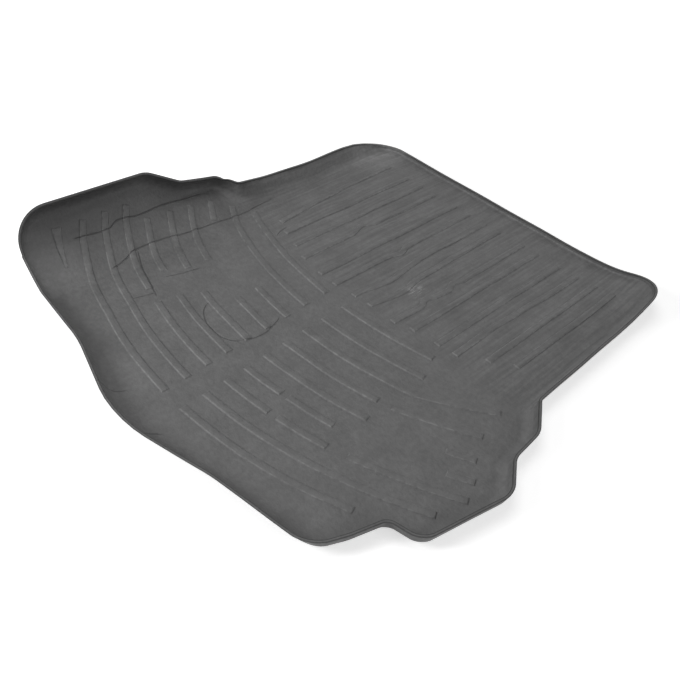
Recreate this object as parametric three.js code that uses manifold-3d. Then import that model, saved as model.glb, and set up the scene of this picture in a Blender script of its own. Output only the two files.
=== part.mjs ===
// Car boot liner: a shallow tray of rubber moulded in one piece. A drafted wall runs round the
// back and the sides, a low lip closes the edge against the seats, and grip ribs stand on the
// floor. It lies as it does after being kept rolled up: the left rear ear stays curled, and one
// seat corner stands proud. Millimetres. X runs across the car, +Y to the seats, +Z up.

import * as THREE from 'three';
import { mergeVertices } from 'three/addons/utils/BufferGeometryUtils.js';
import Module from 'manifold-3d';

// Sheet, wall and lip
const SHEET_THICKNESS = 3;
const WALL_HEIGHT = 40;
const SEAT_LIP_HEIGHT = 14;
const LIP_RISE_LENGTH_LEFT = 173;
const LIP_RISE_LENGTH_RIGHT = 110;
const WALL_LEAN = 0.3;
const FOOT_RADIUS = 24;

// Beside the left wheel arch and across the tail the wall lies further out. The lengths, from
// the seat edge back, and the places across are where this starts, where it is full, where it
// starts to end and where it has ended.
const LEFT_SIDE_LEAN = 0.75;
const LEFT_SIDE_LEAN_LENGTHS = [20, 120, 520, 600];
const TAIL_LEAN = 0.6;
const TAIL_LEAN_PLACES = [-520, -420, 400, 460];

// Plan of the rim. Widths run out from X = 0, lengths back from the seat edge, at Y = 0, runs
// on from the corner before, and set-backs forward from the middle of the tail edge.
const SEAT_HALF_WIDTH_LEFT = 458;
const SEAT_HALF_WIDTH_RIGHT = 465;
const ARCH_HALF_WIDTH_LEFT = 494.5;
const ARCH_HALF_WIDTH_RIGHT = 479.5;
const ARCH_LENGTH = 541;
const SHOULDER_WIDTH_LEFT = 544.5;
const SHOULDER_WIDTH_RIGHT = 529.5;
const SHOULDER_RUN_LEFT = 53;
const SHOULDER_RUN_RIGHT = 75;
const DIP_WIDTH_LEFT = 565;
const DIP_WIDTH_RIGHT = 535.5;
const DIP_RUN_LEFT = 109;
const DIP_RUN_RIGHT = 83;
const EAR_WIDTH_LEFT = 612;
const EAR_WIDTH_RIGHT = 584;
const EAR_RUN_LEFT = 78;
const EAR_RUN_RIGHT = 70;
const OVERALL_LENGTH = 1202;
const TAIL_BAY_HALF_WIDTH = 218;
const TAIL_BAY_SET_BACK = 57;
const TAIL_WIDTH_LEFT = 620.5;
const TAIL_WIDTH_RIGHT = 430.5;
const TAIL_SET_BACK_LEFT = 88;
const TAIL_SET_BACK_RIGHT = 90;
const TAIL_SIDE_WIDTH = 458.5;
const TAIL_SIDE_SET_BACK = 160;
const STEP_INNER_WIDTH = 477;
const STEP_INNER_SET_BACK = 225.5;
const STEP_OUTER_WIDTH = 542.5;
const STEP_OUTER_SET_BACK = 239;

// Corner radii at their tightest: at the foot of the wall where the corner points outwards,
// and at the rim where it points inwards
const SEAT_CORNER_RADIUS_LEFT = 34;
const SEAT_CORNER_RADIUS_RIGHT = 72;
const ARCH_CORNER_RADIUS = 18;
const SHOULDER_RADIUS = 22;
const DIP_RADIUS = 40;
const EAR_RADIUS = 21;
const STEP_OUTER_RADIUS = 10;
const STEP_INNER_RADIUS = 18;
const TAIL_SIDE_RADIUS = 100;
const TAIL_CORNER_RADIUS_LEFT = 53;
const TAIL_CORNER_RADIUS_RIGHT = 34;
const TAIL_BAY_RADIUS = 268;

// Grip ribs: bars with drafted sides
const RIB_WIDTH = 17.5;
const RIB_HEIGHT = 2.4;
const RIB_DRAFT = 1.5;

// Cross rows, bowed towards the seats at their ends, in two halves either side of a clear gap
const ROW_MIDDLE = -12;
const ROW_GAP = 54;
const ROW_GAP_MIDDLE = 3;
const ROW_GAP_SKEW = 3.8;
const ROW_BOW = 116;
const ROW_BOW_WIDTH = 500;
const ROW_STEP = 60;

// Each row, from the one nearest the tail: how far its middle is set back from the tail edge's,
// how far it reaches to the left and to the right, and how far its ends swing to the seats
const ROW_SET_BACKS = [129, 184, 238, 291, 345, 401, 460, 518, 582];
const ROW_REACH_LEFT = [557, 557, 555, 508, 503, 498, 490, 456, 417];
const ROW_REACH_RIGHT = [410, 510, 528, 510, 480, 450, 436, 271, 245];
const ROW_SWING_LEFT = [-10, -9, -8, -7, 0, 2, 3, 7, 0];
const ROW_SWING_RIGHT = [5, 5, 7, 6, 8, 23, 47, 0, 0];
const ROW_SWING_START = 290;
const ROW_SWING_LENGTH = 150;

// Where a row is broken: its number from the tail and the stretch of X left out
const ROW_BREAKS = [
  { row: 2, from: -306, to: -258 },
  { row: 2, from: 144, to: 163 },
  { row: 2, from: 277, to: 317 },
  { row: 3, from: -344, to: -249 },
  { row: 3, from: 122, to: 137 },
  { row: 3, from: 247, to: 460 },
  { row: 4, from: -316, to: -229 },
  { row: 4, from: 277, to: 425 },
  { row: 5, from: -314, to: -166 },
  { row: 5, from: 256, to: 285 },
  { row: 6, from: -435, to: -167 },
];

// A short rib outside the rows in the left tail corner, wide at the wall and narrow inwards
const CORNER_RIB_OUTER_X = -560;
const CORNER_RIB_OUTER_SET_BACK = 185;
const CORNER_RIB_OUTER_WIDTH = 25;
const CORNER_RIB_INNER_X = -463;
const CORNER_RIB_INNER_SET_BACK = 163;
const CORNER_RIB_INNER_WIDTH = 6;

// Fore and aft ribs between the wheel arches: how far to the right each one is, and how far its
// end nearer the tail is from the seat edge
const LONG_RIB_FRONT_LENGTH = 90;
const LONG_RIBS = [
  { x: -349, back: 519 },
  { x: -290, back: 540 },
  { x: -238, back: 556 },
  { x: -182, back: 574 },
  { x: -112, back: 585 },
  { x: -62, back: 585 },
  { x: 0, back: 578 },
  { x: 44, back: 575 },
  { x: 115, back: 574 },
  { x: 157, back: 560 },
  { x: 226, back: 552 },
  { x: 275, back: 546 },
  { x: 329, back: 505 },
  { x: 378, back: 470 },
];

// Set of the rubber: the left rear ear curls up from a line beside the floor's middle and folds
// further up along a second line, a swell lifts the left side, and the right seat corner lifts
const CURL_START = 395;
const CURL_ANGLE = 33.6;
const CURL_REACH = 37;
const CURL_FADE_START = 434;
const CURL_FADE_LENGTH = 220;
const FOLD_ANGLE = 22.5;
const FOLD_START = 113;
const FOLD_LENGTH = 24;
const LIFTS = [
  { x: SEAT_HALF_WIDTH_RIGHT, y: 0, height: 40.5, reach: 107 },
  { x: -480, y: -128, height: 11, reach: 117 },
];

// Facets
const OUTLINE_STEP = 70;
const ARC_TURN = THREE.MathUtils.degToRad(16);
const FOOT_ARC_STEPS = 3;
const SLICE_TOLERANCE = 0.5;
const CURL_SLICES = 6;
const FOLD_SLICES = 3;
const FADE_SLICES = 5;
const LIFT_SLICES = [0.45, 0.9, 1.35];
const LIFT_SLICE_REACH = 1.7;
const CURL_SUM_STEPS = 24;

const wasm = await Module();
wasm.setup();

// The corners of the rim's outline, in turn anticlockwise from above
function rimCorners() {
  const corner = (x, length, radius) => ({ point: new THREE.Vector2(x, -length), radius });
  const shoulderLeft = ARCH_LENGTH + SHOULDER_RUN_LEFT;
  const shoulderRight = ARCH_LENGTH + SHOULDER_RUN_RIGHT;
  const dipLeft = shoulderLeft + DIP_RUN_LEFT;
  const dipRight = shoulderRight + DIP_RUN_RIGHT;
  const tailBay = OVERALL_LENGTH - TAIL_BAY_SET_BACK;
  return [
    corner(SEAT_HALF_WIDTH_RIGHT, 0, SEAT_CORNER_RADIUS_RIGHT),
    corner(-SEAT_HALF_WIDTH_LEFT, 0, SEAT_CORNER_RADIUS_LEFT),
    corner(-ARCH_HALF_WIDTH_LEFT, ARCH_LENGTH, ARCH_CORNER_RADIUS),
    corner(-SHOULDER_WIDTH_LEFT, shoulderLeft, SHOULDER_RADIUS),
    corner(-DIP_WIDTH_LEFT, dipLeft, DIP_RADIUS),
    corner(-EAR_WIDTH_LEFT, dipLeft + EAR_RUN_LEFT, EAR_RADIUS),
    corner(-TAIL_WIDTH_LEFT, OVERALL_LENGTH - TAIL_SET_BACK_LEFT, TAIL_CORNER_RADIUS_LEFT),
    corner(-TAIL_BAY_HALF_WIDTH, tailBay, TAIL_BAY_RADIUS),
    corner(0, OVERALL_LENGTH, TAIL_BAY_RADIUS),
    corner(TAIL_BAY_HALF_WIDTH, tailBay, TAIL_BAY_RADIUS),
    corner(TAIL_WIDTH_RIGHT, OVERALL_LENGTH - TAIL_SET_BACK_RIGHT, TAIL_CORNER_RADIUS_RIGHT),
    corner(TAIL_SIDE_WIDTH, OVERALL_LENGTH - TAIL_SIDE_SET_BACK, TAIL_SIDE_RADIUS),
    corner(STEP_INNER_WIDTH, OVERALL_LENGTH - STEP_INNER_SET_BACK, STEP_INNER_RADIUS),
    corner(STEP_OUTER_WIDTH, OVERALL_LENGTH - STEP_OUTER_SET_BACK, STEP_OUTER_RADIUS),
    corner(EAR_WIDTH_RIGHT, dipRight + EAR_RUN_RIGHT, EAR_RADIUS),
    corner(DIP_WIDTH_RIGHT, dipRight, DIP_RADIUS),
    corner(SHOULDER_WIDTH_RIGHT, shoulderRight, SHOULDER_RADIUS),
    corner(ARCH_HALF_WIDTH_RIGHT, ARCH_LENGTH, ARCH_CORNER_RADIUS),
  ];
}

// Works out the arc that rounds each corner, kept short enough for the sides next to it
function cornerArcs(corners) {
  const count = corners.length;
  const wallInset = wallSection(WALL_HEIGHT, WALL_LEAN).pop()[0];
  const arcs = corners.map(({ point, radius }, i) => {
    const before = corners[(i + count - 1) % count].point;
    const after = corners[(i + 1) % count].point;
    const inward = point.clone().sub(before).normalize();
    const outward = after.clone().sub(point).normalize();
    const turn = Math.atan2(inward.cross(outward), inward.dot(outward));
    const rimRadius = turn > 0 ? radius + wallInset : radius;
    const tangent = rimRadius * Math.tan(Math.abs(turn) / 2);
    return { point, inward, outward, turn, rimRadius, tangent, side: point.distanceTo(after) };
  });
  const room = arcs.map(({ side, tangent }, i) => side / (tangent + arcs[(i + 1) % count].tangent));
  return arcs.map((arc, i) => {
    const share = Math.min(1, room[i], room[(i + count - 1) % count]);
    return { ...arc, rimRadius: arc.rimRadius * share, tangent: arc.tangent * share };
  });
}

// Points along the rounded outline, each with the direction out of it
function outlineStations(corners) {
  const arcs = cornerArcs(corners);
  const stations = [];
  arcs.forEach((arc, i) => {
    const { point, inward, outward, turn, rimRadius, tangent } = arc;
    const start = point.clone().addScaledVector(inward, -tangent);
    const firstNormal = new THREE.Vector2(inward.y, -inward.x);
    const centre = start.clone().addScaledVector(firstNormal, -Math.sign(turn) * rimRadius);
    const steps = Math.max(2, Math.ceil(Math.abs(turn) / ARC_TURN));
    for (let k = 0; k <= steps; k += 1) {
      const normal = firstNormal.clone().rotateAround(new THREE.Vector2(), (turn * k) / steps);
      const at = centre.clone().addScaledVector(normal, Math.sign(turn) * rimRadius);
      stations.push({ at, normal });
    }
    const next = arcs[(i + 1) % arcs.length];
    const end = point.clone().addScaledVector(outward, tangent);
    const straight = next.point.clone().addScaledVector(outward, -next.tangent).sub(end);
    const pieces = Math.ceil(straight.length() / OUTLINE_STEP);
    const normal = new THREE.Vector2(outward.y, -outward.x);
    for (let k = 1; k < pieces; k += 1) {
      stations.push({ at: end.clone().addScaledVector(straight, k / pieces), normal });
    }
  });
  return stations;
}

// The rim's height above the underside: low along the seats, full height round the rest
function rimHeight({ x, y }) {
  const length = x < 0 ? LIP_RISE_LENGTH_LEFT : LIP_RISE_LENGTH_RIGHT;
  const rise = THREE.MathUtils.smoothstep(-y, 0, length);
  return THREE.MathUtils.lerp(SEAT_LIP_HEIGHT, WALL_HEIGHT, rise);
}

// From 0 to 1 and back as the value passes the four places
function swell(value, [start, full, ending, end]) {
  return THREE.MathUtils.smoothstep(value, start, full) - THREE.MathUtils.smoothstep(value, ending, end);
}

// How far the wall leans out for each millimetre that it rises
function wallLean({ x, y }) {
  const atTail = y < TAIL_SIDE_SET_BACK - OVERALL_LENGTH;
  const side = x < 0 ? swell(-y, LEFT_SIDE_LEAN_LENGTHS) : 0;
  const tail = atTail ? swell(x, TAIL_LEAN_PLACES) : 0;
  return WALL_LEAN + (LEFT_SIDE_LEAN - WALL_LEAN) * side + (TAIL_LEAN - WALL_LEAN) * tail;
}

// Section through the wall, as [distance in from the rim's outer edge, height], from the edge
// of the underside up the outside, over the rim and down the inside to the edge of the floor
function wallSection(height, lean) {
  const wallAngle = Math.PI / 2 - Math.atan(lean);
  const rimWidth = SHEET_THICKNESS * Math.hypot(1, lean);
  const inner = height - SHEET_THICKNESS;
  const radius = Math.min(FOOT_RADIUS, inner);
  const centre = rimWidth + lean * inner + radius * Math.tan(wallAngle / 2);
  const arc = (size) => {
    const points = [];
    for (let k = 0; k <= FOOT_ARC_STEPS; k += 1) {
      const angle = (wallAngle * k) / FOOT_ARC_STEPS;
      points.push([centre - size * Math.sin(angle), SHEET_THICKNESS + radius - size * Math.cos(angle)]);
    }
    return points;
  };
  const outside = arc(radius + SHEET_THICKNESS);
  const inside = arc(radius).reverse();
  return [...outside, [0, height], [rimWidth, height], ...inside];
}

// Closed body through rings of points that run anticlockwise from above: the first ring is
// capped facing down and the last facing up
function loft(rings) {
  const count = rings[0].length;
  const positions = rings.flat().flatMap((p) => [p.x, p.y, p.z]);
  const index = [];
  for (let r = 0; r + 1 < rings.length; r += 1) {
    for (let i = 0; i < count; i += 1) {
      const j = (i + 1) % count;
      const [a, b] = [r * count + i, r * count + j];
      index.push(a, b, b + count, a, b + count, a + count);
    }
  }
  const top = (rings.length - 1) * count;
  const cap = (ring) => THREE.ShapeUtils.triangulateShape(ring.map((p) => new THREE.Vector2(p.x, p.y)), []);
  cap(rings[0]).forEach(([a, b, c]) => index.push(a, c, b));
  cap(rings[rings.length - 1]).forEach(([a, b, c]) => index.push(top + a, top + b, top + c));
  const geometry = new THREE.BufferGeometry();
  geometry.setAttribute('position', new THREE.Float32BufferAttribute(positions, 3));
  geometry.setIndex(index);
  return geometry;
}

// The tray without its ribs
function trayGeometry() {
  const stations = outlineStations(rimCorners());
  const sections = stations.map(({ at }) => wallSection(rimHeight(at), wallLean(at)));
  const rings = sections[0].map((_, k) => stations.map(({ at, normal }, i) => {
    const [inset, height] = sections[i][k];
    return new THREE.Vector3(at.x - normal.x * inset, at.y - normal.y * inset, height);
  }));
  return loft(rings);
}

// A rib along a line of plan points, as wide at its start and at its end as given: drafted
// sides, square ends, foot sunk into the floor
function ribGeometry(line, startWidth = RIB_WIDTH, endWidth = RIB_WIDTH) {
  const ring = (draft, height) => {
    const left = [];
    const right = [];
    line.forEach((point, i) => {
      const before = line[Math.max(0, i - 1)];
      const after = line[Math.min(line.length - 1, i + 1)];
      const along = after.clone().sub(before).normalize();
      const at = point.clone();
      if (i === 0) at.addScaledVector(along, draft);
      if (i === line.length - 1) at.addScaledVector(along, -draft);
      const width = THREE.MathUtils.lerp(startWidth, endWidth, i / (line.length - 1));
      const side = new THREE.Vector2(-along.y, along.x).multiplyScalar(width / 2 - draft);
      left.push(new THREE.Vector3(at.x + side.x, at.y + side.y, height));
      right.push(new THREE.Vector3(at.x - side.x, at.y - side.y, height));
    });
    return [...right, ...left.reverse()];
  };
  const foot = ring(0, SHEET_THICKNESS / 2);
  const floor = ring(0, SHEET_THICKNESS);
  const top = ring(RIB_DRAFT, SHEET_THICKNESS + RIB_HEIGHT);
  return loft([foot, floor, top]);
}

function rowY(row, x) {
  const bow = ROW_BOW * ((x - ROW_MIDDLE) / ROW_BOW_WIDTH) ** 2;
  const swing = x < 0 ? ROW_SWING_LEFT[row] : ROW_SWING_RIGHT[row];
  const share = Math.max(0, Math.abs(x) - ROW_SWING_START) / ROW_SWING_LENGTH;
  return ROW_SET_BACKS[row] - OVERALL_LENGTH + bow + swing * share;
}

// The stretches of X that a row covers, either side of the gap and of its own breaks
function rowStretches(row) {
  const left = -ROW_REACH_LEFT[row];
  const right = ROW_REACH_RIGHT[row];
  const middle = ROW_GAP_MIDDLE - ROW_GAP_SKEW * row;
  const gap = { from: middle - ROW_GAP / 2, to: middle + ROW_GAP / 2 };
  const breaks = [...ROW_BREAKS.filter((item) => item.row === row), gap].sort((a, b) => a.from - b.from);
  const starts = [left, ...breaks.map(({ to }) => to)];
  const ends = [...breaks.map(({ from }) => from), right];
  return starts.map((from, i) => ({ from, to: ends[i] }));
}

function crossRibs() {
  return ROW_SET_BACKS.flatMap((_, row) => rowStretches(row).map(({ from, to }) => {
    const steps = Math.ceil((to - from) / ROW_STEP);
    const line = Array.from({ length: steps + 1 }, (__, k) => {
      const x = THREE.MathUtils.lerp(from, to, k / steps);
      return new THREE.Vector2(x, rowY(row, x));
    });
    return ribGeometry(line);
  }));
}

function cornerRib() {
  const outer = new THREE.Vector2(CORNER_RIB_OUTER_X, CORNER_RIB_OUTER_SET_BACK - OVERALL_LENGTH);
  const inner = new THREE.Vector2(CORNER_RIB_INNER_X, CORNER_RIB_INNER_SET_BACK - OVERALL_LENGTH);
  return ribGeometry([outer, inner], CORNER_RIB_OUTER_WIDTH, CORNER_RIB_INNER_WIDTH);
}

function longRibs() {
  return LONG_RIBS.map(({ x, back }) => {
    const ends = [-back, -LONG_RIB_FRONT_LENGTH].map((y) => new THREE.Vector2(x, y));
    return ribGeometry(ends);
  });
}

function toSolid(geometry) {
  const merged = mergeVertices(geometry);
  return new wasm.Manifold(new wasm.Mesh({
    numProp: 3,
    vertProperties: merged.attributes.position.array,
    triVerts: new Uint32Array(merged.index.array),
  }));
}

// Splits every triangle edge that crosses the plane axis = value inside the region, so that the
// sheet can bend there
function slice(mesh, axis, value, inside) {
  const { points } = mesh;
  const cuts = new Map();
  const cutPoint = (a, b) => {
    const key = a < b ? `${a} ${b}` : `${b} ${a}`;
    if (cuts.has(key)) return cuts.get(key);
    const [low, high] = a < b ? [points[a], points[b]] : [points[b], points[a]];
    const [before, after] = [low[axis] - value, high[axis] - value];
    let cut = -1;
    if (before * after < 0 && Math.min(Math.abs(before), Math.abs(after)) > SLICE_TOLERANCE) {
      const at = low.clone().lerp(high, before / (before - after));
      at[axis] = value;
      if (inside(at)) cut = points.push(at) - 1;
    }
    cuts.set(key, cut);
    return cut;
  };
  const triangles = mesh.triangles.flatMap((triangle) => {
    let [a, b, c] = triangle;
    let [ab, bc, ca] = [cutPoint(a, b), cutPoint(b, c), cutPoint(c, a)];
    for (let turn = 0; turn < 2 && (ab < 0 || (bc < 0 && ca >= 0)); turn += 1) {
      [a, b, c] = [b, c, a];
      [ab, bc, ca] = [bc, ca, ab];
    }
    if (ab < 0) return [triangle];
    if (bc < 0) return [[a, ab, c], [ab, b, c]];
    return [[ab, b, bc], [a, ab, bc], [a, bc, c]];
  });
  return { points, triangles };
}

// How strongly the ear is curled at a given place along the liner, from 0 to 1
function curlStrength(y) {
  return THREE.MathUtils.smoothstep(-y, CURL_FADE_START, CURL_FADE_START + CURL_FADE_LENGTH);
}

// The sheet's angle in the curled ear, at a distance out from the curl's start: it grows fast and
// settles, then grows again over the fold
function curlAngle(distance) {
  const curled = CURL_ANGLE * (1 - Math.exp(-distance / CURL_REACH));
  const folded = FOLD_ANGLE * THREE.MathUtils.smoothstep(distance, FOLD_START, FOLD_START + FOLD_LENGTH);
  return THREE.MathUtils.degToRad(curled + folded);
}

// Lays a point of the left ear over the curl, adding up the sheet's way out and up to it
function curl(point) {
  const reach = -point.x - CURL_START;
  if (reach <= 0) return;
  const strength = curlStrength(point.y);
  const step = reach / CURL_SUM_STEPS;
  let out = 0;
  let up = 0;
  for (let k = 0; k < CURL_SUM_STEPS; k += 1) {
    const angle = strength * (curlAngle(k * step) + curlAngle((k + 1) * step)) / 2;
    out += Math.cos(angle) * step;
    up += Math.sin(angle) * step;
  }
  const angle = strength * curlAngle(reach);
  point.x = -CURL_START - out + point.z * Math.sin(angle);
  point.z = up + point.z * Math.cos(angle);
}

function lift(point) {
  point.z += LIFTS.reduce((sum, { x, y, height, reach }) => {
    const distance = Math.hypot(point.x - x, point.y - y);
    return sum + height * Math.exp(-((distance / reach) ** 2));
  }, 0);
}

// Lines across the sheet where it bends
function sliceWhereBent(mesh) {
  const curlStarts = (at) => at.x <= -CURL_START && at.y < -CURL_FADE_START;
  const inCurl = (at) => at.x < -CURL_START && at.y < -CURL_FADE_START;
  let sliced = slice(mesh, 'x', -CURL_START, curlStarts);
  for (let k = 1; k <= CURL_SLICES; k += 1) {
    const distance = -CURL_REACH * Math.log(1 - k / (CURL_SLICES + 1));
    sliced = slice(sliced, 'x', -CURL_START - distance, inCurl);
  }
  for (let k = 0; k <= FOLD_SLICES; k += 1) {
    const distance = FOLD_START + (k * FOLD_LENGTH) / FOLD_SLICES;
    sliced = slice(sliced, 'x', -CURL_START - distance, inCurl);
  }
  for (let k = 0; k <= FADE_SLICES; k += 1) {
    const length = CURL_FADE_START + (k * CURL_FADE_LENGTH) / FADE_SLICES;
    sliced = slice(sliced, 'y', -length, (at) => at.x < -CURL_START);
  }
  return LIFTS.reduce(sliceLift, sliced);
}

// Lines across a lifted part, on the side towards the liner's middle and both ways along it
function sliceLift(mesh, { x, y, reach }) {
  const lifted = (at) => Math.hypot(at.x - x, at.y - y) < LIFT_SLICE_REACH * reach;
  return LIFT_SLICES.reduce((sliced, share) => {
    const inwards = slice(sliced, 'x', x - Math.sign(x) * share * reach, lifted);
    const back = slice(inwards, 'y', y - share * reach, lifted);
    return slice(back, 'y', y + share * reach, lifted);
  }, mesh);
}

function linerGeometry() {
  const tray = toSolid(trayGeometry());
  const ribs = [...crossRibs(), cornerRib(), ...longRibs()];
  const ribbed = ribs.reduce((body, rib) => body.add(toSolid(rib)), tray);
  const { vertProperties, triVerts } = ribbed.getMesh();
  const points = [];
  for (let i = 0; i < vertProperties.length; i += 3) {
    points.push(new THREE.Vector3().fromArray(vertProperties, i));
  }
  const triangles = [];
  for (let i = 0; i < triVerts.length; i += 3) {
    triangles.push([triVerts[i], triVerts[i + 1], triVerts[i + 2]]);
  }
  const bent = sliceWhereBent({ points, triangles });
  bent.points.forEach((point) => {
    lift(point);
    curl(point);
  });
  const geometry = new THREE.BufferGeometry().setFromPoints(bent.points);
  geometry.setIndex(bent.triangles.flat());
  geometry.computeBoundingBox();
  const { min, max } = geometry.boundingBox;
  geometry.translate(-(min.x + max.x) / 2, -(min.y + max.y) / 2, -min.z);
  geometry.computeVertexNormals();
  return geometry;
}

const rubber = new THREE.MeshStandardMaterial({ color: 0x5b5c5e, roughness: 0.75, metalness: 0 });

const liner = new THREE.Mesh(linerGeometry(), rubber);
liner.name = 'liner';

const bootLiner = new THREE.Group();
bootLiner.add(liner);

export default bootLiner;
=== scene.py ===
"""Car boot liner: one moulded rubber tray, seen as it lies after being kept rolled up.

Metres. The liner is drawn flat first, with X across the car, +Y towards the seats and Y = 0 at
the seat edge. Its curled ear, lifted corner and low waves come last. Creases are in its finish,
as relief with painted shade along them.
"""

import math

import bmesh
import bpy
import numpy as np
from mathutils import Matrix, Vector
from mathutils.kdtree import KDTree

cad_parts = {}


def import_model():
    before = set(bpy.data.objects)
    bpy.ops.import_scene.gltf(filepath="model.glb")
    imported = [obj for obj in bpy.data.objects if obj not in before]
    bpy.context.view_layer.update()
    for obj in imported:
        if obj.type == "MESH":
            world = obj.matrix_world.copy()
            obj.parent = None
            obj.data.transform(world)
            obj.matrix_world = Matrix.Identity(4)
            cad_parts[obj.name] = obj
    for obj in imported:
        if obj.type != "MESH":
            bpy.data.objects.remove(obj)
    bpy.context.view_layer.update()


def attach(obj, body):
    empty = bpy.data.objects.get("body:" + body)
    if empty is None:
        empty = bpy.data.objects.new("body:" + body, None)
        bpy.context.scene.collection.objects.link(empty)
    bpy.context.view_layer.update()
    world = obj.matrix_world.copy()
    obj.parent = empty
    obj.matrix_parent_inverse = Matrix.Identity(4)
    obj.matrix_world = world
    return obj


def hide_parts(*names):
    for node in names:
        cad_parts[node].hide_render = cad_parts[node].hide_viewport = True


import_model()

# Camera: where it stands, where it looks and its focal length, for a picture 680 pixels wide
CAMERA_PLACE = (0.87671, -1.00544, 1.09627)
CAMERA_AZIMUTH = math.radians(-42.2)
CAMERA_ELEVATION = math.radians(42.07)
CAMERA_ROLL = math.radians(6.45)
PICTURE_WIDTH = 680
FOCAL_PIXELS = 764.71
SENSOR_WIDTH = 36

# Middle of the lying liner's plan, in the flat liner's own measure
PLAN_MIDDLE = (0.01518, -0.595956)

# Sheet, wall and lip
SHEET = 0.003
WALL_HEIGHT = 0.040
SEAT_LIP_HEIGHT = 0.014
LIP_RISE_LEFT = 0.173
LIP_RISE_RIGHT = 0.110
FOOT_RADIUS = 0.024
FOOT_STEPS = 7
RIM_WIDTH = 0.0065
RIM_DEPTH = 0.0035
RIM_STEP = 0.0002
RIM_EDGE_RADIUS = 0.0007
RIM_EDGE_STEPS = 2
RIM_EDGE_ANGLE = math.radians(50)
SMOOTH_ANGLE = math.radians(35)

# How far the wall leans out as it rises: more beside the left wheel arch and across the tail, with
# the places where that starts, is full, starts to end and has ended
WALL_LEAN = 0.3
LEFT_LEAN = 0.75
LEFT_LEAN_BACKS = (0.020, 0.120, 0.520, 0.600)
TAIL_LEAN = 0.6
TAIL_LEAN_PLACES = (-0.520, -0.420, 0.400, 0.460)
TAIL_LEAN_BACK = 1.042

# Plan of the rim, as (how far out, how far back from the seats, the corner's radius where it is
# tightest), anticlockwise from above
RIM_CORNERS = (
    (0.4650, 0.0000, 0.072),    # seat corner, right
    (-0.4580, 0.0000, 0.034),   # seat corner, left
    (-0.4945, 0.5410, 0.018),   # back of the wheel arch, left
    (-0.5445, 0.5940, 0.022),   # shoulder, left
    (-0.5650, 0.7030, 0.040),   # dip, left
    (-0.6120, 0.7810, 0.021),   # ear, left
    (-0.6205, 1.1140, 0.053),   # tail corner, left
    (-0.2180, 1.1450, 0.268),   # bay in the tail edge
    (0.0000, 1.2020, 0.268),    # middle of the tail edge
    (0.2180, 1.1450, 0.268),    # bay in the tail edge
    (0.4305, 1.1120, 0.034),    # tail corner, right
    (0.4585, 1.0420, 0.100),    # side of the tail, right
    (0.4770, 0.9765, 0.018),    # step, inner corner
    (0.5425, 0.9630, 0.010),    # step, outer corner
    (0.5840, 0.7690, 0.021),    # ear, right
    (0.5355, 0.6990, 0.040),    # dip, right
    (0.5295, 0.6160, 0.022),    # shoulder, right
    (0.4795, 0.5410, 0.018),    # back of the wheel arch, right
)
ARC_TURN = math.radians(6)
SIDE_STEP = 0.040

# Grip ribs: bars with drafted sides, as (step in, step up) from the sheet to the flat top
RIB_WIDTH = 0.0175
RIB_PROFILE = (
    (0.0004, 0.0004),
    (0.0014, 0.0014),
    (0.0005, 0.0004),
    (0.0006, 0.0002),
)
RIB_ROOT = 0.0010
RIB_STEP = 0.008

# Cross rows, bowed towards the seats at their ends, either side of a clear gap. Each is given from
# the tail on: how far back its middle is, how far it reaches and how far its ends swing
ROW_MIDDLE = -0.012
ROW_GAP = 0.054
ROW_GAP_MIDDLE = 0.003
ROW_GAP_SKEW = 0.0038
ROW_BOW = 0.116
ROW_BOW_WIDTH = 0.500
ROW_BACKS = (1.073, 1.018, 0.964, 0.911, 0.857, 0.801, 0.742, 0.684, 0.620)
ROW_REACH_LEFT = (0.557, 0.557, 0.555, 0.508, 0.503, 0.498, 0.490, 0.456, 0.417)
ROW_REACH_RIGHT = (0.410, 0.510, 0.528, 0.510, 0.480, 0.450, 0.436, 0.271, 0.245)
ROW_SWING_LEFT = (-0.010, -0.009, -0.008, -0.007, 0.000, 0.002, 0.003, 0.007, 0.000)
ROW_SWING_RIGHT = (0.005, 0.005, 0.007, 0.006, 0.008, 0.023, 0.047, 0.000, 0.000)
ROW_SWING_START = 0.290
ROW_SWING_LENGTH = 0.150
ROW_BREAKS = {
    2: ((-0.306, -0.258), (0.144, 0.163), (0.277, 0.317)),
    3: ((-0.344, -0.249), (0.122, 0.137), (0.247, 0.460)),
    4: ((-0.316, -0.229), (0.277, 0.425)),
    5: ((-0.314, -0.166), (0.256, 0.285)),
    6: ((-0.435, -0.167),),
}

# The short rib in the left tail corner, as (across, back, width) at its two ends
CORNER_RIB = ((-0.560, 1.017, 0.025), (-0.463, 1.039, 0.006))

# Fore and aft ribs between the wheel arches, as (across, end nearer the tail)
LONG_RIB_FRONT = 0.090
LONG_RIBS = (
    (-0.349, 0.519), (-0.293, 0.540), (-0.241, 0.556), (-0.189, 0.574), (-0.117, 0.585),
    (-0.068, 0.585), (-0.004, 0.578), (0.041, 0.575), (0.109, 0.574), (0.155, 0.560),
    (0.220, 0.552), (0.270, 0.546), (0.324, 0.505), (0.373, 0.470),
)

# Where the rubber has crept and a rib bends aside: for each rib, (how far back, how far across)
KINKS = {
    0: ((0.270, -0.014), (0.360, -0.004), (0.440, 0.002), (0.519, 0.013)),
    3: ((0.335, 0.000), (0.362, -0.014), (0.378, -0.010), (0.405, 0.000)),
    5: ((0.340, 0.000), (0.368, 0.012), (0.395, 0.003), (0.430, 0.000)),
    6: ((0.200, -0.009), (0.350, -0.009), (0.470, 0.007), (0.565, -0.007)),
    7: ((0.200, -0.008), (0.430, 0.000), (0.468, 0.011), (0.520, 0.005), (0.570, -0.005)),
    8: ((0.335, 0.000), (0.357, -0.009), (0.385, 0.005), (0.435, 0.000), (0.457, -0.009),
        (0.482, 0.005), (0.570, 0.000)),
    11: ((0.150, 0.004), (0.350, -0.004), (0.390, -0.008), (0.540, -0.004)),
}

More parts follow.
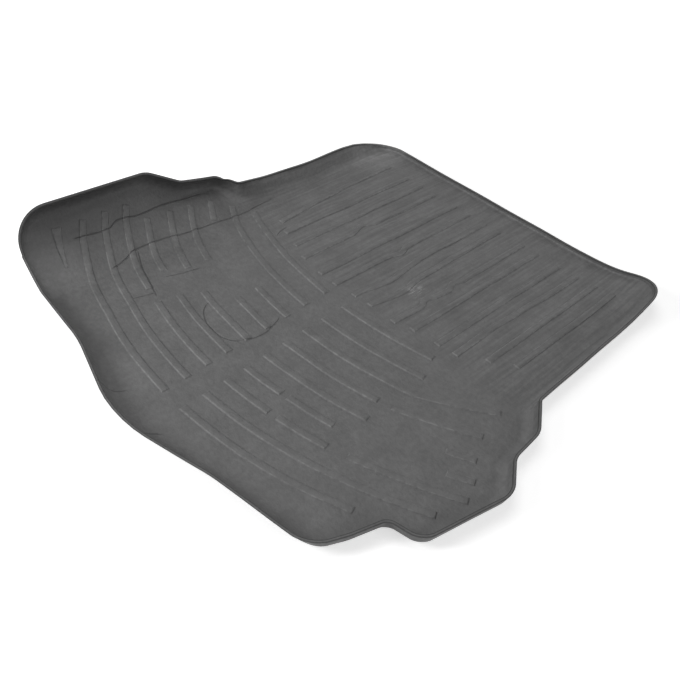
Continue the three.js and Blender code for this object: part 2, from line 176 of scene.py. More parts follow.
# How closely the sheet is cut up, so that it can bend: all over, at the curl and at its fold
CUT_PITCH = 0.0125
CUT_TOUCH = 0.00001
FINE_CUTS = ((-0.472, -0.395, 0.006), (-0.536, -0.504, 0.004))
MERGE_DISTANCE = 0.0002

# Set of the rubber: the ear's curl with the fold further up it
CURL_START = 0.395
CURL_ANGLE = math.radians(33.6)
CURL_REACH = 0.037
CURL_FADE_START = 0.434
CURL_FADE_LENGTH = 0.220
FOLD_ANGLE = math.radians(22.5)
FOLD_START = 0.113
FOLD_LENGTH = 0.024
CURL_SUM_STEPS = 24

# Lifted places, as (across, back, height, reach across, reach back): the seat corner and the swell
# of the left side, then the low waves in the middle of the floor
LIFTS = (
    (0.465, 0.000, 0.0405, 0.107, 0.107),
    (-0.480, 0.128, 0.0110, 0.117, 0.117),
)
WAVES = (
    (0.090, 0.290, 0.0016, 0.300, 0.026),
    (0.325, 0.345, 0.0014, 0.035, 0.018),
    (0.170, 0.350, 0.0012, 0.028, 0.018),
    (-0.140, 0.352, 0.0013, 0.050, 0.016),
    (-0.030, 0.352, 0.0011, 0.018, 0.018),
    (-0.100, 0.820, 0.0018, 0.085, 0.075),
    (0.060, 0.440, 0.0012, 0.030, 0.060),
    (0.160, 0.905, 0.0022, 0.050, 0.030),
)
UNEVEN_COUNT = 9
UNEVEN_HEIGHT = 0.00032
UNEVEN_LENGTHS = (0.090, 0.240)
SEED = 7

# Creases left by the rolling up, as lines of (across, back)
CREASES_FORE_AND_AFT = (
    ((-0.523, 0.991), (-0.518, 0.950), (-0.515, 0.910), (-0.528, 0.872), (-0.521, 0.817),
     (-0.524, 0.760), (-0.520, 0.704), (-0.516, 0.646)),
    ((-0.416, 0.954), (-0.420, 0.936), (-0.430, 0.906), (-0.443, 0.860), (-0.442, 0.810),
     (-0.433, 0.750), (-0.426, 0.645), (-0.423, 0.582), (-0.428, 0.526), (-0.434, 0.466)),
    ((-0.301, 0.970), (-0.294, 0.946), (-0.286, 0.918)),
    ((-0.324, 0.872), (-0.312, 0.838), (-0.303, 0.790)),
    ((-0.048, 0.862), (-0.035, 0.826), (-0.042, 0.792), (-0.057, 0.757)),
    ((-0.098, 1.176), (-0.084, 1.152), (-0.070, 1.128)),
    ((0.040, 1.182), (0.047, 1.160), (0.062, 1.140)),
    ((-0.310, 0.520), (-0.303, 0.552), (-0.296, 0.562)),
)
CREASES_ACROSS = (
    ((-0.436, 0.873), (-0.416, 0.880), (-0.382, 0.894), (-0.338, 0.908), (-0.276, 0.926)),
    ((-0.191, 0.838), (-0.182, 0.865), (-0.154, 0.886), (-0.114, 0.898), (-0.080, 0.896),
     (-0.045, 0.858)),
)
# Creases in the finish: their half width, their fade at the ends, the painted shade that darkens
# the grey along them, and their depth in the relief
CREASE_HALF_WIDTH = 0.0032
CREASE_FADE_INSIDE = 0.008
CREASE_FADE_PAST_END = 0.004
CREASE_PAINTED_SHADE = -0.42
CREASE_DEPTH = 0.0015

# Rubber. A shade is the share by which its grey gets paler, or darker below nothing
RUBBER_GREY = 0.102
RUBBER_ROUGHNESS = 0.60

# Clouds, mottle and drawn streaks in it, as a noise's scale and what its middle values are spread
# over, then how far back the streaks go
NOISE_MIDDLE = (0.25, 0.75)
CLOUD_SCALE = 17.0
CLOUD_GREYS = (0.90, 1.11)
MOTTLE_SCALE = 95.0
MOTTLE_GREYS = (0.86, 1.16)
MOTTLE_ROUGHNESS = (RUBBER_ROUGHNESS - 0.05, RUBBER_ROUGHNESS + 0.06)
STREAK_SCALE = 150.0
STREAK_STRETCH = (1, 0.05, 1)
STREAK_SHADES = (-0.15, 0.18)
STREAK_ROUGHNESS = -0.3
STREAKS_END = (0.520, 0.600)

# Heights of the finish's own relief
GRAIN_SCALE = 900.0
GRAIN_HEIGHT = 0.00009
DIMPLE_SCALE = 110.0
DIMPLE_HEIGHT = 0.0014
STREAK_HEIGHT = 0.0008

# Ribs: where their sides and the edge of their tops are in height, how far in from the rim they
# start, their edges paler from wear and from a painted highlight, and their paler tops on the ear
RIB_SIDE_HEIGHTS = (0.0033, 0.0048)
RIB_TOP_HEIGHTS = (0.00515, 0.00538)
RIBS_FROM_RIM = (0.044, 0.049)
WEAR_AND_HIGHLIGHT_MOTTLE = (0.35, 0.65)
WEAR_AND_HIGHLIGHT_SHADE = 0.45
EAR_RIBS_ACROSS = (-0.460, -0.380)
EAR_RIB_SHADE = 0.22

# Rim: painted shade in dark lines along its two edges and a weaker band over both, as
# distances in from its outside, down to a depth below its top. They leave out the pale corner
RIM_OUTER_LINE_END = (0.0012, 0.0024)
RIM_INNER_LINE_START = (0.0040, 0.0052)
RIM_INNER_LINE_END = (0.0080, 0.0100)
RIM_BAND_END = (0.0075, 0.0095)
RIM_BAND_SHARE = 0.30
RIM_SHADE_DEPTHS = (0.0022, 0.0040)
RIM_PAINTED_SHADE = -0.62
PALE_CORNER = (-0.450, 0.015)
PALE_CORNER_REACH = (0.055, 0.100)

# A patch of fine pale scratches
SCUFF_PLACE = (0.070, 0.452)
SCUFF_REACH = (0.012, 0.030)
SCRATCH_SCALE = 500.0
SCRATCH_STRETCH = (1, 0.12, 1)
SCRATCH_SPREAD = (0.48, 0.60)
SCUFF_SHADE = 1.1

# Paler places of painted sheen and darker places of painted shade, as (across, back, reach,
# shade), full over the given share of the reach
PAINTED_SHEEN_AND_SHADE = (
    (-0.480, 1.070, 0.120, 0.36),
    (-0.462, 0.080, 0.140, 0.75),
    (-0.475, 0.560, 0.055, 0.35),
    (-0.450, 1.130, 0.130, 0.24),
    (-0.100, 1.120, 0.100, 0.18),
    (-0.620, 0.960, 0.150, -0.22),
    (0.465, 0.995, 0.085, -0.20),
    (0.560, 0.880, 0.090, -0.16),
)
PAINTED_PLACE_FULL_SHARE = 0.2

# Light of the room, the floor with its own glow, and the lamps as (name, place, size, watts)
WHITE = (1, 1, 1, 1)
ROOM_LIGHT = 0.12
FLOOR_SIZE = 12
FLOOR_COLOUR = (0.8, 0.8, 0.8, 1)
FLOOR_GLOW = 0.60
FLOOR_GLOW_REACH = (1.1, 3.2)
LAMPS = (
    ("main_softbox", (-1.35, -2.45, 1.54), 1.2, 60),
    ("top_softbox", (-0.50, -0.20, 3.15), 1.8, 30),
    ("right_fill", (2.86, 0.00, 1.43), 1.8, 20),
)


def smooth(values, start, length):
    """From 0 to 1, smoothly, over the length from the start."""
    share = np.clip((values - start) / length, 0, 1)
    return share * share * (3 - 2 * share)


def swell(value, start, full, ending, end):
    """From 0 to 1 and back as the value passes the four places."""
    return float(smooth(value, start, full - start) - smooth(value, ending, end - ending))


def rim_height(x, y):
    """The rim's height over the flat underside: a low lip at the seats, rising along the sides."""
    rise = smooth(-y, 0, np.where(x < 0, LIP_RISE_LEFT, LIP_RISE_RIGHT))
    return SEAT_LIP_HEIGHT + (WALL_HEIGHT - SEAT_LIP_HEIGHT) * rise


def wall_lean(x, y):
    """How far the wall goes out for each metre up."""
    side = swell(-y, *LEFT_LEAN_BACKS) if x < 0 else 0
    tail = swell(x, *TAIL_LEAN_PLACES) if -y > TAIL_LEAN_BACK else 0
    return WALL_LEAN + (LEFT_LEAN - WALL_LEAN) * side + (TAIL_LEAN - WALL_LEAN) * tail


def wall_section(height, lean):
    """The wall's inside and outside, as (distance in from the rim's outer edge, height)."""
    rim_width = SHEET * math.hypot(1, lean)
    wall_angle = math.pi / 2 - math.atan(lean)
    inner = height - SHEET
    radius = min(FOOT_RADIUS, inner)
    centre = rim_width + lean * inner + radius * math.tan(wall_angle / 2)

    def foot(size):
        angles = [wall_angle * k / FOOT_STEPS for k in range(FOOT_STEPS, -1, -1)]
        return [(centre - size * math.sin(a), SHEET + radius - size * math.cos(a)) for a in angles]

    low = height - RIM_DEPTH
    inside = [(0, height), (RIM_WIDTH, height), (RIM_WIDTH + RIM_STEP, low)]
    inside += [(max(inset, RIM_WIDTH + 2 * RIM_STEP), min(level, low - RIM_STEP))
               for inset, level in foot(radius)]
    outside = foot(radius + SHEET)
    return inside, outside


# Handling


def pick(item):
    """Selects one object alone and makes it the active one."""
    bpy.ops.object.select_all(action="DESELECT")
    item.select_set(True)
    bpy.context.view_layer.objects.active = item


def edit(item, mode="VERT"):
    """Goes into edit mode on one object, to select vertices, edges or faces."""
    pick(item)
    bpy.ops.object.mode_set(mode="EDIT")
    bpy.ops.mesh.select_mode(type=mode)
    return bmesh.from_edit_mesh(item.data)


def leave_edit():
    bpy.ops.object.mode_set(mode="OBJECT")


def apply_modifier(item, kind, **settings):
    pick(item)
    modifier = item.modifiers.new(kind.title(), kind)
    for name, value in settings.items():
        setattr(modifier, name, value)
    bpy.ops.object.modifier_apply(modifier=modifier.name)


def places(item):
    """The places of an object's vertices, one to a row."""
    found = np.empty(len(item.data.vertices) * 3, dtype=np.float32)
    item.data.vertices.foreach_get("co", found)
    return found.reshape(-1, 3).astype(float)


# The tray


def corner_reach():
    """Each corner with its turn and how far along its two sides its rounding starts, kept short
    enough for the sides."""
    inset = wall_section(WALL_HEIGHT, WALL_LEAN)[0][-1][0]
    points = [Vector((x, -back)) for x, back, _ in RIM_CORNERS]
    count = len(points)
    turns, tangents, sides = [], [], []
    for i, (_, _, tightest) in enumerate(RIM_CORNERS):
        inward = points[i] - points[i - 1]
        outward = points[(i + 1) % count] - points[i]
        cross = inward.x * outward.y - inward.y * outward.x
        turn = math.atan2(cross, inward.dot(outward))
        radius = tightest + inset if turn > 0 else tightest
        turns.append(turn)
        tangents.append(radius * math.tan(abs(turn) / 2))
        sides.append(outward.length)
    room = [sides[i] / (tangents[i] + tangents[(i + 1) % count]) for i in range(count)]
    shares = [min(1, room[i], room[i - 1]) for i in range(count)]
    return [(points[i], turns[i], tangents[i] * shares[i]) for i in range(count)]


def outline_points(corners):
    """The corners and, between their roundings, points along the longer sides."""
    points = []
    for i, (point, _, tangent) in enumerate(corners):
        next_point, _, next_tangent = corners[(i + 1) % len(corners)]
        way = (next_point - point).normalized()
        start, end = point + way * tangent, next_point - way * next_tangent
        pieces = max(1, math.ceil((end - start).length / SIDE_STEP))
        points.append(point)
        points += [start.lerp(end, k / pieces) for k in range(1, pieces)]
    return points


def draw_rim():
    """A flat face with the rim's outline, its corners rounded one by one."""
    corners = corner_reach()
    points = outline_points(corners)
    bpy.ops.object.select_all(action="DESELECT")
    bpy.ops.mesh.primitive_circle_add(vertices=len(points), radius=1, fill_type="NGON")
    liner = bpy.context.object
    liner.name = "rubber_liner"
    mesh = edit(liner)
    for vertex, point in zip(mesh.verts, points):
        vertex.co = (*point, WALL_HEIGHT)
    bmesh.update_edit_mesh(liner.data)
    for point, turn, tangent in corners:
        bpy.ops.mesh.select_all(action="DESELECT")
        mesh = bmesh.from_edit_mesh(liner.data)
        nearest = min(mesh.verts, key=lambda v: (v.co.xy - point).length)
        nearest.select = True
        mesh.select_flush_mode()
        steps = max(2, math.ceil(abs(turn) / ARC_TURN))
        bpy.ops.mesh.bevel(offset=tangent, offset_type="OFFSET", segments=steps, affect="VERTICES")
    bpy.ops.mesh.select_all(action="SELECT")
    bpy.ops.mesh.remove_doubles(threshold=MERGE_DISTANCE)
    leave_edit()
    return liner


def mitres(plan):
    """For each point of the rim, the way in from it that keeps an even distance."""
    ahead = np.roll(plan, -1, axis=0) - plan
    ahead /= np.linalg.norm(ahead, axis=1)[:, None]
    inward = np.stack([-ahead[:, 1], ahead[:, 0]], axis=1)
    before = np.roll(inward, 1, axis=0)
    return (before + inward) / (1 + np.sum(before * inward, axis=1))[:, None]


def raise_wall(liner):
    """Rim, inside and floor by insets of the outline, outside and underside from its edge."""
    inside, outside = wall_section(WALL_HEIGHT, WALL_LEAN)
    mesh = edit(liner, "FACE")
    plan = np.array([vertex.co.xy for vertex in mesh.faces[:][0].verts])
    bpy.ops.mesh.select_all(action="SELECT")
    for (inset, height), (next_inset, next_height) in zip(inside, inside[1:]):
        bpy.ops.mesh.inset(thickness=next_inset - inset, depth=next_height - height)
    bpy.ops.mesh.select_mode(type="EDGE")
    bpy.ops.mesh.select_all(action="DESELECT")
    mesh = bmesh.from_edit_mesh(liner.data)
    for edge in mesh.edges:
        edge.select = edge.is_boundary
    for (_, height), (_, next_height) in zip([inside[0]] + outside, outside):
        drop = {"value": (0, 0, next_height - height)}
        bpy.ops.mesh.extrude_region_move(TRANSFORM_OT_translate=drop)
    bpy.ops.mesh.edge_face_add()
    bpy.ops.mesh.select_all(action="SELECT")
    bpy.ops.mesh.normals_make_consistent(inside=False)
    leave_edit()
    set_wall(liner, plan)
    return plan


def set_wall(liner, plan):
    """Moves every ring of the wall to the section for the rim's height and the lean there."""
    inside, outside = wall_section(WALL_HEIGHT, WALL_LEAN)
    way_in = mitres(plan)
    vertices = liner.data.vertices
    tree = KDTree(len(vertices))
    for i, vertex in enumerate(vertices):
        tree.insert(vertex.co, i)
    tree.balance()
    made = [(plan + way_in * inset, height) for inset, height in inside]
    made += [(plan, height) for _, height in outside]
    wanted = []
    for x, y in plan:
        near_inside, near_outside = wall_section(float(rim_height(x, y)), wall_lean(x, y))
        wanted.append(near_inside + near_outside)
    moves = {}
    for k, (ring, height) in enumerate(made):
        for i, (x, y) in enumerate(ring):
            _, index, distance = tree.find((x, y, height))
            assert distance < MERGE_DISTANCE, (k, i, distance)
            inset, level = wanted[i][k]
            moves[index] = (*(plan[i] + way_in[i] * inset), level)
    for index, place in moves.items():
        vertices[index].co = place


def round_rim(liner):
    """Takes the sharpness off the two edges of the rim."""
    apply_modifier(liner, "BEVEL", width=RIM_EDGE_RADIUS, segments=RIM_EDGE_STEPS,
                   limit_method="ANGLE", angle_limit=RIM_EDGE_ANGLE)


def cut_up(liner):
    """Cuts across the whole liner at an even pitch both ways, and closer where the ear curls, so
    that the sheet can bend."""
    xs = [x for x, _, _ in RIM_CORNERS]
    backs = [back for _, back, _ in RIM_CORNERS]
    cuts = []
    for way, lowest, highest, pitch in ((0, min(xs), max(xs), CUT_PITCH),
                                        (1, -max(backs), -min(backs), CUT_PITCH),
                                        *((0, *fine) for fine in FINE_CUTS)):
        cuts += [(way, lowest + (k + 0.5) * pitch) for k in range(int((highest - lowest) / pitch))]
    edit(liner, "FACE")
    for way, place in cuts:
        normal = tuple(float(axis == way) for axis in range(3))
        bpy.ops.mesh.select_all(action="SELECT")
        bpy.ops.mesh.bisect(plane_co=tuple(n * place for n in normal), plane_no=normal,
                            threshold=CUT_TOUCH)
    leave_edit()


# The ribs


def row_y(row, x):
    """How far forward a cross row's middle line is at X, with its bow and the swing of its end."""
    swing = ROW_SWING_LEFT[row] if x < 0 else ROW_SWING_RIGHT[row]
    share = max(0, abs(x) - ROW_SWING_START) / ROW_SWING_LENGTH
    return ROW_BOW * ((x - ROW_MIDDLE) / ROW_BOW_WIDTH) ** 2 + swing * share - ROW_BACKS[row]


def row_slope(row, x, step=0.001):
    return (row_y(row, x + step) - row_y(row, x - step)) / (2 * step)


def row_stretches(row):
    """The stretches of X that a row covers, either side of the gap and of its own breaks."""
    middle = ROW_GAP_MIDDLE - ROW_GAP_SKEW * row
    breaks = sorted(ROW_BREAKS.get(row, ()) + ((middle - ROW_GAP / 2, middle + ROW_GAP / 2),))
    starts = [-ROW_REACH_LEFT[row]] + [to for _, to in breaks]
    ends = [start for start, _ in breaks] + [ROW_REACH_RIGHT[row]]
    return list(zip(starts, ends))


def rib_bar(length):
    """A straight bar along X from X = 0, drafted and rounded, its root sunk in the sheet."""
    steps = max(1, round(length / RIB_STEP))
    bpy.ops.object.select_all(action="DESELECT")
    bpy.ops.mesh.primitive_grid_add(x_subdivisions=steps, y_subdivisions=1, size=1)
    bar = bpy.context.object
    edit(bar, "FACE")
    bpy.ops.mesh.select_all(action="SELECT")
    bpy.ops.transform.resize(value=(length, RIB_WIDTH, 1))
    bpy.ops.transform.translate(value=(length / 2, 0, SHEET - RIB_ROOT))
    bpy.ops.mesh.extrude_region_move(TRANSFORM_OT_translate={"value": (0, 0, RIB_ROOT)})
    for step_in, step_up in RIB_PROFILE:
        bpy.ops.mesh.inset(thickness=step_in, depth=step_up)
    bpy.ops.mesh.select_all(action="SELECT")
    bpy.ops.mesh.normals_make_consistent(inside=False)
    leave_edit()
    return bar


def cross_ribs():
    """A bar for each stretch of each row, laid along the row's bow."""
    bars = []
    for row in range(len(ROW_BACKS)):
        for start, end in row_stretches(row):
            bar = rib_bar(end - start)
            for vertex in bar.data.vertices:
                x, across, height = vertex.co
                along = start + x
                slope = row_slope(row, along)
                width = math.hypot(1, slope)
                plan = (along - across * slope / width, row_y(row, along) + across / width)
                vertex.co = (*plan, height)
            bars.append(bar)
    return bars


def corner_rib():
    """The short bar of the tail corner, tapered towards its inner end."""
    (outer_x, outer_back, outer_width), (inner_x, inner_back, inner_width) = CORNER_RIB
    outer, inner = Vector((outer_x, -outer_back)), Vector((inner_x, -inner_back))
    length = (inner - outer).length
    ahead = (inner - outer) / length
    bar = rib_bar(length)
    for vertex in bar.data.vertices:
        x, across, height = vertex.co
        width = outer_width + (inner_width - outer_width) * x / length
        plan = outer + ahead * x + ahead.orthogonal() * across * width / RIB_WIDTH
        vertex.co = (*plan, height)
    return bar


def long_ribs():
    """The fore and aft bars, from the tail end forward, with their kinks."""
    bars = []
    for k, (across, back) in enumerate(LONG_RIBS):
        kinks = KINKS.get(k, ((0, 0), (1, 0)))
        bar = rib_bar(back - LONG_RIB_FRONT)
        for vertex in bar.data.vertices:
            along, beside, height = vertex.co
            shift = np.interp(back - along, *zip(*kinks))
            vertex.co = (across + shift - beside, along - back, height)
        bars.append(bar)
    return bars


def join(items):
    """Makes several objects one, and gives it back."""
    bpy.ops.object.select_all(action="DESELECT")
    for item in items:
        item.select_set(True)
    bpy.context.view_layer.objects.active = items[0]
    bpy.ops.object.join()
    return items[0]


def add_ribs(liner):
    """Unites all the ribs with the sheet."""
    ribs = join(cross_ribs() + [corner_rib()] + long_ribs())
    apply_modifier(liner, "BOOLEAN", operation="UNION", object=ribs, solver="MANIFOLD")
    bpy.data.objects.remove(ribs)


# The set of the rubber


def mark(liner, plan):
    """Keeps each place of the flat liner, its depth below the rim and its distance in from the
    rim, for the finish to follow."""
    flat = places(liner)
    edge = np.roll(plan, -1, axis=0) - plan
    inset = np.full(len(flat), np.inf)
    for start, way in zip(plan, edge):
        away = flat[:, :2] - start
        share = np.clip(away @ way / (way @ way), 0, 1)
        inset = np.minimum(inset, np.linalg.norm(away - share[:, None] * way, axis=1))
    below = rim_height(flat[:, 0], flat[:, 1]) - flat[:, 2]
    kept = liner.data.attributes.new("flat", "FLOAT_VECTOR", "POINT")
    kept.data.foreach_set("vector", flat.astype(np.float32).ravel())
    for name, values in (("below_rim", below), ("inset", inset)):
        kept = liner.data.attributes.new(name, "FLOAT", "POINT")
        kept.data.foreach_set("value", values.astype(np.float32))


def lift(points):
    """Raises the lifted places and the low waves, and makes the sheet slightly uneven."""
    for across, back, height, wide, long in LIFTS + WAVES:
        share = ((points[:, 0] - across) / wide) ** 2 + ((points[:, 1] + back) / long) ** 2
        points[:, 2] += height * np.exp(-share)
    chance = np.random.default_rng(SEED)
    for _ in range(UNEVEN_COUNT):
        turn = chance.uniform(0, math.pi)
        length = chance.uniform(*UNEVEN_LENGTHS)
        along = points[:, 0] * math.cos(turn) + points[:, 1] * math.sin(turn)
        phase = 2 * math.pi * (along / length + chance.uniform())
        points[:, 2] += UNEVEN_HEIGHT * (1 + np.sin(phase))


def curl_angle(distance):
    """The sheet's angle at a distance past the line where the curl starts."""
    curled = CURL_ANGLE * (1 - np.exp(-distance / CURL_REACH))
    return curled + FOLD_ANGLE * smooth(distance, FOLD_START, FOLD_LENGTH)


def curl(points):
    """Lays the left ear over its curl: the sheet's angle grows from the start line and settles,
    then grows again over the fold."""
    reach = np.maximum(-points[:, 0] - CURL_START, 0)
    strength = smooth(-points[:, 1], CURL_FADE_START, CURL_FADE_LENGTH)
    step = reach / CURL_SUM_STEPS
    out = np.zeros(len(points))
    up = np.zeros(len(points))
    for k in range(CURL_SUM_STEPS):
        angle = strength * (curl_angle(k * step) + curl_angle((k + 1) * step)) / 2
        out += np.cos(angle) * step
        up += np.sin(angle) * step
    angle = strength * curl_angle(reach)
    height = points[:, 2].copy()
    curled = reach > 0
    points[curled, 0] = (-CURL_START - out + height * np.sin(angle))[curled]
    points[curled, 2] = (up + height * np.cos(angle))[curled]


def let_it_lie(liner):
    """Bends the flat tray as it lies and puts the middle of its plan over the origin."""
    points = places(liner)
    lift(points)
    curl(points)
    points[:, :2] -= PLAN_MIDDLE
    points[:, 2] -= points[:, 2].min()
    liner.data.vertices.foreach_set("co", points.astype(np.float32).ravel())
    liner.data.update()


def build_liner():
    """The flat tray with its ribs, and then as it lies."""
    liner = draw_rim()
    plan = raise_wall(liner)
    round_rim(liner)
    cut_up(liner)
    add_ribs(liner)
    mark(liner, plan)
    let_it_lie(liner)
    pick(liner)
    bpy.ops.object.shade_smooth_by_angle(angle=SMOOTH_ANGLE)
    return liner


# Finish


def add(tree, kind, *values, **settings):
    """Adds a node, fed in turn with numbers or with other nodes' outputs."""
    node = tree.nodes.new("ShaderNode" + kind)
    for name, value in settings.items():
        setattr(node, name, value)
    for socket, value in zip(node.inputs, values):
        if isinstance(value, bpy.types.NodeSocket):
            tree.links.new(value, socket)
        elif value is not None:
            socket.default_value = value
    return node.outputs[0]


def times(tree, first, second):
    return add(tree, "Math", first, second, operation="MULTIPLY")


def plus(tree, first, second):
    return add(tree, "Math", first, second, operation="ADD")


def span(tree, value, start, end, low=0.0, high=1.0):
    """From low to high, smoothly, while the value goes from start to end."""
    return add(tree, "MapRange", value, start, end, low, high, interpolation_type="SMOOTHSTEP")


def shaded(tree, grey, share, shade):
    """The grey, paler by the shade where the share is full, or darker by one below nothing."""
    return times(tree, grey, plus(tree, times(tree, share, shade), 1.0))


def noise(tree, flat, scale, detail=2.0, stretch=(1, 1, 1)):
    stretched = add(tree, "VectorMath", flat, stretch, operation="MULTIPLY")
    return add(tree, "TexNoise", stretched, None, scale, detail)


def distance(tree, flat, place):
    """How far the flat liner's points are from one on the sheet, given as (across, back)."""
    away = add(tree, "VectorMath", flat, (place[0], -place[1], SHEET), operation="DISTANCE")
    return away.node.outputs["Value"]


def kept(tree, name, output):
    """What mark() has kept on the liner under a name."""
    node = tree.nodes.new("ShaderNodeAttribute")
    node.attribute_name = name
    return node.outputs[output]


def crease_line(tree, along, beside, line):
    """Full on a line given as (beside, along), and nothing past its width and its two ends."""
    line = sorted(line, key=lambda place: place[1])
    first, last = line[0][1], line[-1][1]
    low, high = min(b for b, _ in line), max(b for b, _ in line)
    share = add(tree, "MapRange", along, first, last, 0.0, 1.0)
    curve = tree.nodes.new("ShaderNodeFloatCurve")
    tree.links.new(share, curve.inputs["Value"])
    points = curve.mapping.curves[0].points
    spots = [((a - first) / (last - first), (b - low) / (high - low)) for b, a in line]
    points[0].location, points[-1].location = spots[0], spots[-1]
    for spot in spots[1:-1]:
        points.new(*spot)
    curve.mapping.update()
    middle = add(tree, "MapRange", curve.outputs[0], 0.0, 1.0, low, high)
    off = add(tree, "Math", add(tree, "Math", beside, middle, operation="SUBTRACT"),
              operation="ABSOLUTE")
    near = span(tree, off, 0.0, CREASE_HALF_WIDTH, 1.0, 0.0)
    started = span(tree, along, first - CREASE_FADE_PAST_END, first + CREASE_FADE_INSIDE)
    ended = span(tree, along, last - CREASE_FADE_INSIDE, last + CREASE_FADE_PAST_END, 1.0, 0.0)
    return times(tree, near, times(tree, started, ended))


def creases(tree, across, back):
    """Full on any of the creases."""
    lines = [crease_line(tree, back, across, line) for line in CREASES_FORE_AND_AFT]
    lines += [crease_line(tree, across, back, [(b, x) for x, b in line])
              for line in CREASES_ACROSS]
    found = lines[0]
    for line in lines[1:]:
        found = add(tree, "Math", found, line, operation="MAXIMUM")
    return found


def ribs_above_sheet(tree, height, inset):
    """Full on the ribs' tops and on the upper part of their sides, and nothing on the wall."""
    return times(tree, span(tree, height, *RIB_SIDE_HEIGHTS), span(tree, inset, *RIBS_FROM_RIM))


def rim_painted_shade_lines(tree, flat, inset, below_rim):
    """Full on the rim's lines of painted shade and weaker between them."""
    outer = span(tree, inset, *RIM_OUTER_LINE_END, 1.0, 0.0)
    inner = times(tree, span(tree, inset, *RIM_INNER_LINE_START),
                  span(tree, inset, *RIM_INNER_LINE_END, 1.0, 0.0))
    band = times(tree, span(tree, inset, *RIM_BAND_END, 1.0, 0.0), RIM_BAND_SHARE)
    lines = plus(tree, plus(tree, outer, inner), band)
    near_top = span(tree, below_rim, *RIM_SHADE_DEPTHS, 1.0, 0.0)
    past_corner = span(tree, distance(tree, flat, PALE_CORNER), *PALE_CORNER_REACH)
    return times(tree, times(tree, lines, near_top), past_corner)


def scuff(tree, flat):
    """Full on the scratches of the scuffed patch."""
    patch = span(tree, distance(tree, flat, SCUFF_PLACE), *SCUFF_REACH, 1.0, 0.0)
    scratches = noise(tree, flat, SCRATCH_SCALE, 4.0, SCRATCH_STRETCH)
    return times(tree, patch, span(tree, scratches, *SCRATCH_SPREAD))


def paint_sheen_and_shade(tree, flat, grey):
    """The grey with the places of painted sheen and painted shade in it."""
    for across, back, reach, shade in PAINTED_SHEEN_AND_SHADE:
        away = distance(tree, flat, (across, back))
        start = PAINTED_PLACE_FULL_SHARE * reach
        grey = times(tree, grey, span(tree, away, start, reach, 1.0 + shade, 1.0))
    return grey


def rubber():
    """Grey moulded rubber, its marks and its painted sheen and shade laid out on the flat liner.
    """
    material = bpy.data.materials.new("moulded_rubber")
    material.use_nodes = True
    tree = material.node_tree
    shader = tree.nodes["Principled BSDF"]
    flat = kept(tree, "flat", "Vector")
    below_rim = kept(tree, "below_rim", "Fac")
    inset = kept(tree, "inset", "Fac")
    apart = tree.nodes.new("ShaderNodeSeparateXYZ")
    tree.links.new(flat, apart.inputs[0])
    across, forward, height = apart.outputs
    back = times(tree, forward, -1.0)

    crease = creases(tree, across, back)
    clouds = noise(tree, flat, CLOUD_SCALE, 3.0)
    mottle = noise(tree, flat, MOTTLE_SCALE, 3.0)
    streaks = noise(tree, flat, STREAK_SCALE, 3.0, STREAK_STRETCH)
    streaky = span(tree, streaks, *NOISE_MIDDLE, *STREAK_SHADES)
    streaks_here = span(tree, back, *STREAKS_END, 1.0, 0.0)
    on_rib = ribs_above_sheet(tree, height, inset)
    on_edge = times(tree, on_rib, span(tree, height, *RIB_TOP_HEIGHTS, 1.0, 0.0))
    wear_and_highlight = times(tree, on_edge, span(tree, mottle, *WEAR_AND_HIGHLIGHT_MOTTLE))
    on_ear_rib = times(tree, on_rib, span(tree, across, *EAR_RIBS_ACROSS, 1.0, 0.0))

    grey = times(tree, span(tree, clouds, *NOISE_MIDDLE, *CLOUD_GREYS), RUBBER_GREY)
    grey = times(tree, grey, span(tree, mottle, *NOISE_MIDDLE, *MOTTLE_GREYS))
    grey = shaded(tree, grey, streaky, streaks_here)
    # Rib edges paler, partly from wear and partly as a painted highlight
    grey = shaded(tree, grey, wear_and_highlight, WEAR_AND_HIGHLIGHT_SHADE)
    grey = shaded(tree, grey, on_ear_rib, EAR_RIB_SHADE)
    grey = shaded(tree, grey, scuff(tree, flat), SCUFF_SHADE)
    # Painted sheen makes some places paler and painted shade makes others darker
    grey = paint_sheen_and_shade(tree, flat, grey)
    # Painted shade darkens the grey along the creases
    grey = shaded(tree, grey, crease, CREASE_PAINTED_SHADE)
    # Painted shade along the rim's edges darkens the grey
    grey = shaded(tree, grey, rim_painted_shade_lines(tree, flat, inset, below_rim), RIM_PAINTED_SHADE)
    tree.links.new(grey, shader.inputs["Base Color"])

    rough = span(tree, mottle, *NOISE_MIDDLE, *MOTTLE_ROUGHNESS)
    rough = plus(tree, rough, times(tree, streaky, STREAK_ROUGHNESS))
    tree.links.new(rough, shader.inputs["Roughness"])

    grain = times(tree, noise(tree, flat, GRAIN_SCALE), GRAIN_HEIGHT)
    dimples = times(tree, noise(tree, flat, DIMPLE_SCALE), DIMPLE_HEIGHT)
    drawn = times(tree, times(tree, streaks, STREAK_HEIGHT), streaks_here)
    relief = plus(tree, plus(tree, grain, dimples), drawn)
    relief = plus(tree, relief, times(tree, crease, -CREASE_DEPTH))
    bump = tree.nodes.new("ShaderNodeBump")
    bump.inputs["Distance"].default_value = 1.0
    tree.links.new(relief, bump.inputs["Height"])
    tree.links.new(bump.outputs["Normal"], shader.inputs["Normal"])
    return material


# Room


def seen_light(tree):
    """One for the rays that come from the camera, or from a glossy or clear surface."""
    path = tree.nodes.new("ShaderNodeLightPath")
    straight = plus(tree, path.outputs["Is Camera Ray"], path.outputs["Is Glossy Ray"])
    total = plus(tree, straight, path.outputs["Is Transmission Ray"])
    return add(tree, "Math", total, 1.0, operation="MINIMUM")


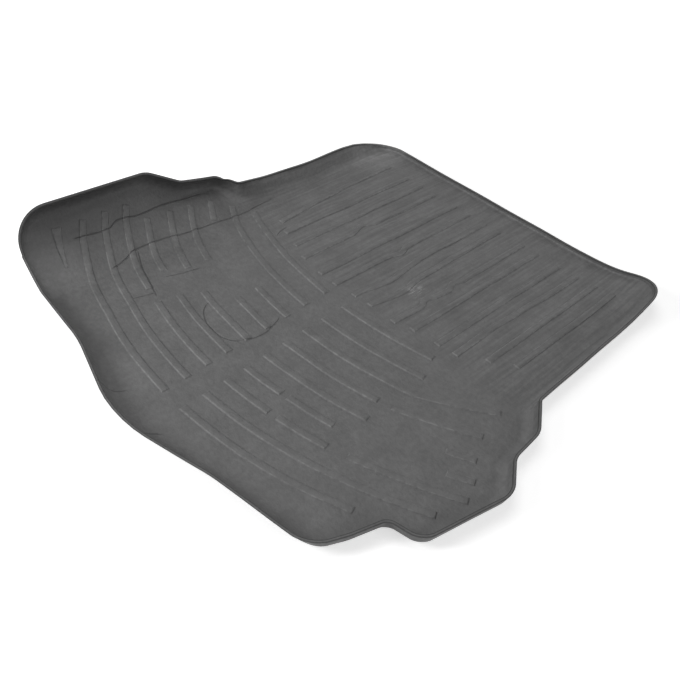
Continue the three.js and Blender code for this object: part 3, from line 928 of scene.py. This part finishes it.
def floor():
    """A matt floor with its own glow, weaker near the liner, so that the shadow shows on it."""
    bpy.ops.object.select_all(action="DESELECT")
    bpy.ops.mesh.primitive_plane_add(size=FLOOR_SIZE)
    ground = bpy.context.object
    ground.name = "studio_floor"
    material = bpy.data.materials.new("white_floor")
    material.use_nodes = True
    tree = material.node_tree
    matt = tree.nodes["Principled BSDF"]
    matt.inputs["Base Color"].default_value = FLOOR_COLOUR
    matt.inputs["Roughness"].default_value = 1
    place = tree.nodes.new("ShaderNodeTexCoord").outputs["Object"]
    away = add(tree, "VectorMath", place, operation="LENGTH").node.outputs["Value"]
    strength = span(tree, away, *FLOOR_GLOW_REACH, FLOOR_GLOW, 1.0)
    glow = add(tree, "Emission", WHITE, strength)
    both = add(tree, "AddShader", matt.outputs["BSDF"], glow)
    surface = add(tree, "MixShader", seen_light(tree), matt.outputs["BSDF"], both)
    tree.links.new(surface, tree.nodes["Material Output"].inputs["Surface"])
    ground.data.materials.append(material)


def world():
    """Plain light from all round, white to the camera."""
    sky = bpy.data.worlds.new("studio")
    bpy.context.scene.world = sky
    sky.use_nodes = True
    tree = sky.node_tree
    light = tree.nodes["Background"]
    light.inputs["Color"].default_value = WHITE
    light.inputs["Strength"].default_value = ROOM_LIGHT
    white = add(tree, "Background", WHITE, 1.0)
    surface = add(tree, "MixShader", seen_light(tree), light.outputs["Background"], white)
    tree.links.new(surface, tree.nodes["World Output"].inputs["Surface"])


def lamp(name, place, size, power):
    """A square softbox, turned to the middle of the scene."""
    data = bpy.data.lights.new(name, "AREA")
    data.shape = "SQUARE"
    data.size = size
    data.energy = power
    item = bpy.data.objects.new(name, data)
    bpy.context.scene.collection.objects.link(item)
    item.location = place
    item.rotation_euler = (-Vector(place)).to_track_quat("-Z", "Y").to_euler()


def camera():
    """The camera of the picture: its place, the way it looks and its roll."""
    ahead = Vector((math.sin(CAMERA_AZIMUTH) * math.cos(CAMERA_ELEVATION),
                    math.cos(CAMERA_AZIMUTH) * math.cos(CAMERA_ELEVATION),
                    -math.sin(CAMERA_ELEVATION)))
    level = Vector((math.cos(CAMERA_AZIMUTH), -math.sin(CAMERA_AZIMUTH), 0))
    above = level.cross(ahead)
    right = level * math.cos(CAMERA_ROLL) + above * math.sin(CAMERA_ROLL)
    up = above * math.cos(CAMERA_ROLL) - level * math.sin(CAMERA_ROLL)
    data = bpy.data.cameras.new("camera")
    data.sensor_width = SENSOR_WIDTH
    data.lens = FOCAL_PIXELS / PICTURE_WIDTH * SENSOR_WIDTH
    item = bpy.data.objects.new("camera", data)
    bpy.context.scene.collection.objects.link(item)
    turn = Matrix((right, up, -ahead)).transposed().to_4x4()
    item.matrix_world = Matrix.Translation(CAMERA_PLACE) @ turn
    bpy.context.scene.camera = item


bpy.context.scene.view_settings.view_transform = "Standard"
camera()
floor()
world()
for name, place, size, power in LAMPS:
    lamp(name, place, size, power)
liner = build_liner()
liner.data.materials.clear()
liner.data.materials.append(rubber())
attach(liner, "root")
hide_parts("liner")
